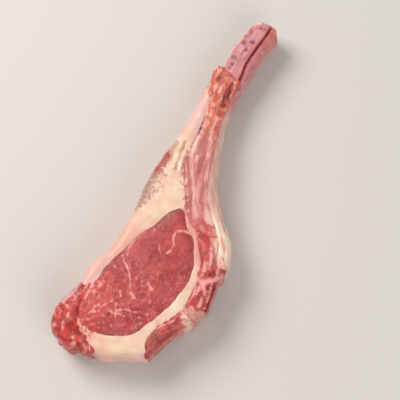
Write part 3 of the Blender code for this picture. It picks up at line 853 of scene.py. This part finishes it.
def thin_meat_look():
    """Pale strands over dusky pink, with brownish bundles, orange at the scraped end, and marks
    over both."""
    look = damp_look("rib_meat_and_sinew", spread=(1.0, 0.3, 0.22))
    strands = look.strands(0.8, 7.0)
    broad = look.strands(1.9)
    clouds = look.grain(3.0)
    fine = look.grain(0.5)
    look.colour = look.blend("c66d64", "e49186", look.step(strands, 0.36, 0.66))
    look.paint("f6bdae", look.step(broad, 0.52, 0.66) * 0.5)
    look.mark("bundles", "b45e57", 0.85, strands)
    orange = look.blend("cc5a47", "ea7d67", look.step(strands, 0.3, 0.7))
    orange = look.blend(orange, "f2ae96", look.step(look.grain(3.2), 0.5, 0.64) * 0.6)
    orange = look.blend(orange, "ab4a3a", look.step(clouds, 0.52, 0.68) * 0.6)
    look.paint(orange, look.mask("scraped"))
    look.mark("tan", "b4704f", 0.7, clouds)
    look.mark("sinew", "f8bab0", 0.85, strands, 0.1, 1.2)
    look.mark("pale", "f9cdb8", 0.85, fine)
    look.mark("red", "cd5352", 0.85, clouds)
    look.mark("blood", "7a1412", 0.92, fine, 0.1, 1.1)
    # Near-black in the cracks: painted shade.
    look.mark("dark", "3d0c0a", 1.0, fine)
    coat = 0.55 * look.step(clouds, 0.3, 0.6) * (1 - 0.8 * look.step(look.mask("blood"), 0.0, 0.8))
    return look.finish(0.3 + 0.22 * fine, strands * 0.7 + fine * 0.3, 0.32, coat)


rib_upper = (
    chain(RIB_OUTER, CAP_SEAM), stretch(BONE_SEAM, (4.7, 57.6), (16.4, 7)), MEAT_ROUND, SEAM_ROUND,
)
rib_lower = (
    chain(stretch(WRAP_SEAM, (10, -1.2), (16.3, -7.1)), RIB_SEAM),
    stretch(BONE_SEAM, (16.4, 7), (28.6, -7.7)),
)
place, _, flow = band([rib_upper, rib_lower], (RIB_OUTER,), inner=32, walls=12, crown=0.8)
marked = wandering(place)
x, y = place[..., 0], place[..., 1]
scraped = smooth(24, 42, y + 5.0 * noise(place * (1, 0.5, 1), 3))
sinew = drawn(marked, *PALE_SHEETS)
bundles = drawn(marked, *BROWN_BUNDLES)
blood = np.maximum(drawn(marked, BLOOD_SPOT), dotted(marked, (-3.7, 56.2, 1.9, 0.9)))
end_edge = 0.9 * smooth(1.8, 0.5, distance_to(place, RAGGED_END) + 0.8 * noise(place, 1.6))
end_edge = end_edge * smooth(5.6, 1.5, x)
dark = drawn(marked, *SHADED_CRACKS) * smooth(-1.1, 0, noise(place, 2))
beside_bone = 1.7 * smooth(3.8, 0.6, distance_to(marked, BONE_SEAM)) * smooth(6, -5, y)
rough_end = smooth(40, 52, y)
torn = noise(flow * (1, 0.2, 1), 1.3) * (0.08 + 0.16 * rough_end)
torn = torn + noise(place, 2.6) * (0.14 + 0.26 * rough_end)
place = raised(place, torn + 0.12 * sinew + 0.18 * bundles - 0.2 * blood - 0.5 * dark)
jagged = 2.4 + 2.2 * noise(place * (1, 0, 0.6), 1.7) + 1.2 * noise(place * (1, 0, 1), 0.8)
place[..., 1] += smooth(54, 60.5, place[..., 1]) * jagged
make_piece(
    "meat_along_the_rib", "rib_meat", "thin_meat", strayed(place), flow, thin_meat_look(),
    scraped=scraped, sinew=sinew, bundles=bundles, dark=dark, blood=blood,
    red=smooth(-1, -7.5, y + 1.5 * noise(place, 2)), tan=dotted(marked, *TAN_PATCHES),
    pale=np.maximum.reduce((dotted(marked, *PEACH_PATCHES), end_edge * by_face(place), beside_bone)),
)

# Small muscles
# Three muscles at the right of the chop, cut across: the red wedge under the thick end of
# the bone, and two below it. Pale sheets of sinew part them, and a skin covers their walls.

CHINE_SEAM = curve((28.5, -26), (31.5, -26.2), (34.6, -24.4), (37.6, -20.6))
SIDE_SEAM = curve((29.4, -38.6), (32, -38.4), (35.5, -37.4), (38.2, -36))
STRIP_SEAM = curve((29.4, -41.6), (32, -43), (35.9, -43.4))
SIDE_OUTER = curve((37.6, -20.8), (37.3, -28), (38.2, -36))
STRIP_OUTER = curve((38.2, -36), (38.1, -39.8), (35.9, -43.4))
CORNER_OUTER = curve((35.9, -43.6), (32.8, -49), (29, -55.4), (27.3, -60), (26, -65))
RIGHT_OUTLINE = chain(SIDE_OUTER, STRIP_OUTER, CORNER_OUTER)
CHINE_SHEETS = (
    (0.7, 0.4, (18.6, -9.6), (22.8, -14.4), (26.4, -20), (28.2, -24.4)),
    (0.9, 0.8, (28.8, -12.8), (30.2, -16.6), (31.6, -20.6)),
    (0.8, 1, (33, -14.6), (34.6, -17.6), (35.8, -21.4)), (1.2, 0.5, (17, -6), (19, -8.4), (21.4, -12)),
    (1.2, 0.3, (23, -11), (25.6, -13.6), (27.2, -16)),
    (0.9, 0.7, (29.4, -19), (30, -22), (29.8, -24.6)),
    (1, 1, CHINE_SEAM),
)
CHINE_BROWNS = (
    (0.5, 1.4, (30.6, -14.6), (31.8, -16.8), (33, -19.2)),
    (0.45, 1.2, (34, -13.6), (34.8, -14.8), (35.5, -16.6)),
)
# Dark spots in the wedge; the one at (36.8, -19.2) is painted shade at its right edge.
CHINE_DARKS = (
    (27.2, -15.4, 1.4, 0.7), (28, -18.8, 0.9, 0.5), (30.2, -22.6, 0.9, 0.5), (33.8, -22.1, 1.2, 2),
    (20.8, -7.9, 0.9, 1), (36.8, -19.2, 0.9, 0.8), (24.4, -9.4, 0.7, 0.5),
)
SIDE_BROWNS = ((0.6, 0.7, (35.2, -25.8), (36.4, -29.6), (37, -33)),)
SIDE_SHEETS = (
    (1.4, 1, CHINE_SEAM),
    (0.7, 0.8, (32.4, -27), (33.8, -29.4), (35.6, -32)),
    *SIDE_BROWNS,
    (0.6, 0.6, (30.2, -29), (30.6, -33), (30.2, -37)),
    (0.8, 0.7, (31.8, -27.4), (32, -29.4), (31.6, -32.4)), (0.9, 0.7, (34.4, -32.6), (35.2, -36.2)),
)
SIDE_DARKS = (
    (32, -30.6, 0.8, 0.8), (33.2, -33.6, 0.9, 0.9), (31.4, -35.8, 0.7, 0.5),
    (36.4, -28, 0.6, 0.5),
)
CORNER_SHEETS = (
    (0.8, 0.9, STRIP_SEAM),
    (0.7, 0.5, (34.6, -46), (32.4, -50.4), (30.4, -54)), (0.5, 0.6, (28.6, -46.2), (27, -48.6)),
)
CORNER_BROWNS = ((1.3, 1, (24, -54.6), (23.8, -57), (23.6, -60)),)
CORNER_CREAM = (
    (33.6, -44.6, 1.9, 1.7), (35.4, -46.2, 1.9, 1.7), (31.6, -43.6, 1.3, 1.3), (24.6, -50.2, 1.2, 1.1),
    (25.9, -46.8, 1, 1.1),
)
CORNER_DARKS = (
    (23.4, -52.6, 0.6, 0.9), (28, -53.2, 1, 0.6), (31, -47.4, 0.8, 0.5),
    (26.6, -56.2, 0.9, 0.6),
)

small_meat = meat_look("small_muscles", "9c2523", "cb443f", "ea8075")


def small_muscle(name, node, legs, sheets, darks, browns, cream, streaky, **shape):
    """A small muscle: a band with a mosaic of bundles, pale where sinew crosses or bounds it.
    Its flecks are drawn from the length of its name."""
    place, edge, flow = band(legs, (RIGHT_OUTLINE,), crown=0.5, **shape)
    marked = wandering(place)
    skin = smooth(2.4, 0.6, distance_to(place, RIGHT_OUTLINE)) * smooth(18.6, 15.5, place[..., 2])
    sinew = drawn(marked, *sheets) * smooth(-1.2, -0.2, noise(place, 2))
    streaks = noise(flow * (1, 0.3, 1), 1.3)
    bundles = 0.12 * streaks + 0.22 * noise(place, 5) + 0.1 * sinew
    # Browner near the seams as painted shade, and along the listed brown streaks.
    rim = 0.4 * smooth(1.4, 0.2, edge) * smooth(-0.6, 0.5, noise(place, 3)) + drawn(marked, *browns)
    spots = flecks(marked, len(name), 20, (18, -66), (39, -8))
    dark = np.maximum(dotted(marked, *darks), spots * 0.6)
    pale = np.maximum(sinew, 0.4 * skin * smooth(-0.8, 0.6, noise(place, 2.5)))
    place = strayed(raised(place, bundles - 0.12 * dark))
    make_piece(
        name, node, "meat", place, flow, small_meat, sinew=pale, rim=rim, lively=0.45, dark=dark,
        cream=cream(marked), marbling=streaky * smooth(0.25, 0.8, streaks),
        bright=smooth(-0.2, 0.5, noise(place, 4)) * (1 - skin),
    )


def bone_cream(marked):
    """Cream that fades within 4.6 mm of the bone, and towards the lower end of the wedge."""
    beside = smooth(4.6, 0, distance_to(marked, BONE_SEAM))
    return 1.1 * beside * smooth(-19.5, -15.5, marked[..., 1])


chine_lower = chain(stretch(WRAP_SEAM, (16.3, -7.1), (28.5, -26)), CHINE_SEAM)
chine_upper = chain(RIB_SEAM, stretch(BONE_SEAM, (28.6, -7.7), (37.2, -18.2)))
small_muscle(
    "wedge_under_the_bone", "chine_meat", [(chine_lower, chine_upper)], CHINE_SHEETS, CHINE_DARKS,
    CHINE_BROWNS, bone_cream, 0.85, inner=30,
)
side_upper = stretch(CHINE_SEAM, (28.9, -26), (37.6, -20.6))
small_muscle(
    "upper_side_muscle", "side_muscle", [(SIDE_SEAM, side_upper)], SIDE_SHEETS, SIDE_DARKS,
    SIDE_BROWNS, lambda marked: 0, 0.9, inner=34, walls=10,
)
corner_start = (stretch(WRAP_SEAM, (29, -41.6), (27.2, -45)), STRIP_SEAM)
corner_rest = (
    stretch(WRAP_SEAM, (27.2, -45), (25.8, -65.3)), CORNER_OUTER, SEAM_ROUND, MEAT_ROUND,
)
small_muscle(
    "lower_side_muscle", "corner_muscle", [corner_start, corner_rest], CORNER_SHEETS, CORNER_DARKS,
    CORNER_BROWNS, lambda marked: dotted(marked, *CORNER_CREAM), 0.15, inner=24, walls=18, swell=0.5,
)

# Strip of side fat
# The short tan and cream strip of fat between the two muscles at the right, with a little
# red in it. It grows together with both.

STRIP_TAN = ((36.3, -41, 1.8, 1.2), (33.8, -39.4, 1, 0.9))
STRIP_RED = (
    (32.8, -41.8, 0.8, 0.5), (30.6, -38.8, 0.9, 0.8), (34.8, -37.6, 1.1, 0.7), (35, -43.2, 0.8, 0.5),
)

place, _, flow = band([(STRIP_SEAM, SIDE_SEAM)], (RIGHT_OUTLINE,), inner=14, walls=10)
marked = wandering(place)
pink = 0.95 + dotted(marked, (31.2, -40.2, 1.6, 0.7), (34.4, -42.6, 1.4, 0.6))
tan = (0.2 + dotted(marked, *STRIP_TAN)) * smooth(-1, 0.3, noise(place, 1.5))
red = 0.32 + 0.9 * dotted(marked, *STRIP_RED)
place = strayed(raised(place, 0.5 * noise(place, 2.2)))
make_piece(
    "strip_of_side_fat", "side_fat", "fat", place, flow, fat, pink=pink, tan=tan, red=red, yellow=0.3
)

# Ragged tip
# The loose bright red meat at the lower left, torn rather than cut, with pink scraps of fat
# and membrane in it. It hangs from the lower left of the eye muscle and its fat.

TIP_OUTER = curve(
    (-13.8, -49.4), (-15, -55.5), (-17.1, -60.5), (-17.5, -65.5), (-15.6, -70.8), (-11.2, -74.4),
    (-6, -76), (-1, -75), (3.4, -74),
)
TIP_PALE = (
    (-12.4, -61.6, 1.2, 0.4), (-8.6, -52.8, 1.7, 1), (-10.6, -51, 1.2, 0.4), (-9.6, -76, 1.2, 0.9),
    (-5.6, -71.6, 1, 0.9), (-3.6, -73.6, 1.7, 1.2), (-15.2, -70.6, 1.8, 1.1), (-12, -73.6, 1.2, 0.8),
    (-17.4, -66, 1.4, 0.9), (1.6, -72.6, 1.4, 0.6), (-11.4, -56, 0.8, 0.5), (-6.6, -60, 0.6, 0.7),
)
TIP_DARK = (
    (-4.4, -69, 1.2, 1), (-8.2, -61.2, 0.8, 0.7), (-10.2, -56.4, 0.7, 0.7), (-7.2, -66.6, 0.6, 0.6),
    (-13.4, -67.6, 0.9, 0.6), (-8.4, -73.6, 0.8, 0.6), (-15.4, -63, 0.7, 0.6),
)
TIP_SKIN = (1.1, 0.9, (-13, -49.6), (-14.2, -54.6), (-16.4, -60.4))
TIP_SCRAP = (0.8, 1.2, (-7.6, -63.4), (-6, -65.2), (-4.4, -66.6), (-2.4, -67.8))


def torn_look():
    """Bright red torn lumps, darker in the hollows as painted shade, with pink scraps over them."""
    look = damp_look("torn_meat")
    at = look.swirled(3.0, 2.0)
    lumps = look.grain(4.0, at=at)
    fine = look.grain(0.5)
    # Darker red in the hollows of the lumps: painted shade.
    look.colour = look.blend("a52421", "d3453a", look.step(lumps, 0.36, 0.62))
    look.paint("f59a86", look.step(look.grain(2.6, at=at), 0.54, 0.74) * 0.35)
    # The dark mask: dark spots, and painted shade in the valleys between folds.
    look.mark("dark", "7f1a19", 0.8, fine)
    look.mark("pale", "ffb3a2", 0.8, lumps)
    look.mark("skin", "eec3c2", 0.75, fine)
    height = lumps * 0.6 + fine * 0.4
    return look.finish(0.3 + 0.22 * fine, height, 0.4, 0.6 * look.step(lumps, 0.35, 0.6))


tip_inner = chain(stretch(EYE_LEFT, (-8.5, -49.4), (-6, -63.8)), TIP_SEAM[::-1])
place, edge, flow = band(
    [(TIP_OUTER, tip_inner, MEAT_ROUND, SEAM_ROUND)], (TIP_OUTER,), inner=36, walls=26,
    crown=0.3, swell=0.6,
)
marked = wandering(place, 0.8, 2.2)
outer = smooth(5, 0, distance_to(place, TIP_OUTER))
folds = 1 - 2.2 * np.abs(noise(place, 4.6))
torn = (0.18 + 0.5 * outer) * folds + (0.12 + 0.25 * outer) * noise(place, 1.9)
torn = (torn + 0.5 * noise(place, 6.5)) * smooth(0.2, 2.5, edge + 3.0 * outer)
# Darker in the valleys between the folds as painted shade, and at the listed dark spots.
dark = np.maximum(dotted(marked, *TIP_DARK), smooth(0.1, -0.7, folds) * 0.4)
cut = by_face(place)
skin = np.maximum(drawn(marked, TIP_SKIN), dotted(marked, (0.2, -72.4, 1.8, 0.5))) * cut
skin = skin + 0.6 * (1 - cut) * smooth(0.1, 0.5, noise(place, 4))
pale = np.maximum(0.85 * dotted(marked, *TIP_PALE), drawn(marked, TIP_SCRAP)) * cut
pale = pale + (1 - cut) * smooth(0.25, 0.6, noise(place, 3, 4.4))
place = strayed(raised(place, torn))
place[..., 1] += smooth(-53, -49.5, place[..., 1]) * (0.6 + 1.6 * noise(place * (1, 0, 0.6), 2.3))
make_piece(
    "ragged_tip", "tip_meat", "torn_meat", place, flow, torn_look(),
    pale=pale, dark=dark, skin=skin,
)

# Studio
# A plain pale floor, a broad soft light high on the left, a weak one on the right and an even
# pale surround. The camera looks down as in the photograph, with the chop filling the frame.

CAMERA_AZIMUTH = np.radians(27.3)
CAMERA_ELEVATION = np.radians(77.0)
CAMERA_DISTANCE = 0.62
CAMERA_LENS = 130.0
CAMERA_NEAREST = 0.01
AIM = Vector((0.003, 0.0, 0.009))
FLOOR_HALF = 3.0
FLOOR_HEIGHT = -0.0002  # just under the chop, so that the two faces don't meet
SURROUND = (0.97, 0.98, 1.0, 1.0)
SURROUND_STRENGTH = 0.35


def soft_light(name, place, size, watts, colour):
    """A square area light at a place, turned to the chop."""
    lamp = bpy.data.lights.new(name, "AREA")
    lamp.size = size
    lamp.energy = watts
    lamp.color = colour
    light = in_scene(name, lamp)
    light.location = place
    light.rotation_euler = (AIM - Vector(place)).to_track_quat("-Z", "Y").to_euler()


floor_mesh = bpy.data.meshes.new("pale_floor")
ways = ((-1, -1), (1, -1), (1, 1), (-1, 1))
corners = [(x * FLOOR_HALF, y * FLOOR_HALF, FLOOR_HEIGHT) for x, y in ways]
floor_mesh.from_pydata(corners, [], [(0, 1, 2, 3)])
floor = in_scene("pale_floor", floor_mesh)
floor_look = Look("pale_floor", Roughness=0.8, Base_Color=tint("dcd8d2"))
floor_mesh.materials.append(floor_look.material)

soft_light("key", (-0.55, 0.12, 0.62), size=0.45, watts=5.3, colour=(1.0, 0.97, 0.93))
soft_light("fill", (0.55, -0.35, 0.5), size=0.6, watts=2.5, colour=(1.0, 0.96, 0.92))

world = bpy.data.worlds.new("surround")
world.use_nodes = True
background = world.node_tree.nodes["Background"]
background.inputs["Color"].default_value = SURROUND
background.inputs["Strength"].default_value = SURROUND_STRENGTH
bpy.context.scene.world = world
bpy.context.scene.view_settings.view_transform = "Standard"

camera_data = bpy.data.cameras.new("camera")
camera_data.lens = CAMERA_LENS
camera = in_scene("camera", camera_data)
back = Vector((
    np.sin(CAMERA_AZIMUTH) * np.cos(CAMERA_ELEVATION),
    -np.cos(CAMERA_AZIMUTH) * np.cos(CAMERA_ELEVATION),
    np.sin(CAMERA_ELEVATION),
))
camera.location = AIM + back * CAMERA_DISTANCE
camera.rotation_euler = (-back).to_track_quat("-Z", "Y").to_euler()
camera_data.clip_start = CAMERA_NEAREST
bpy.context.scene.camera = camera
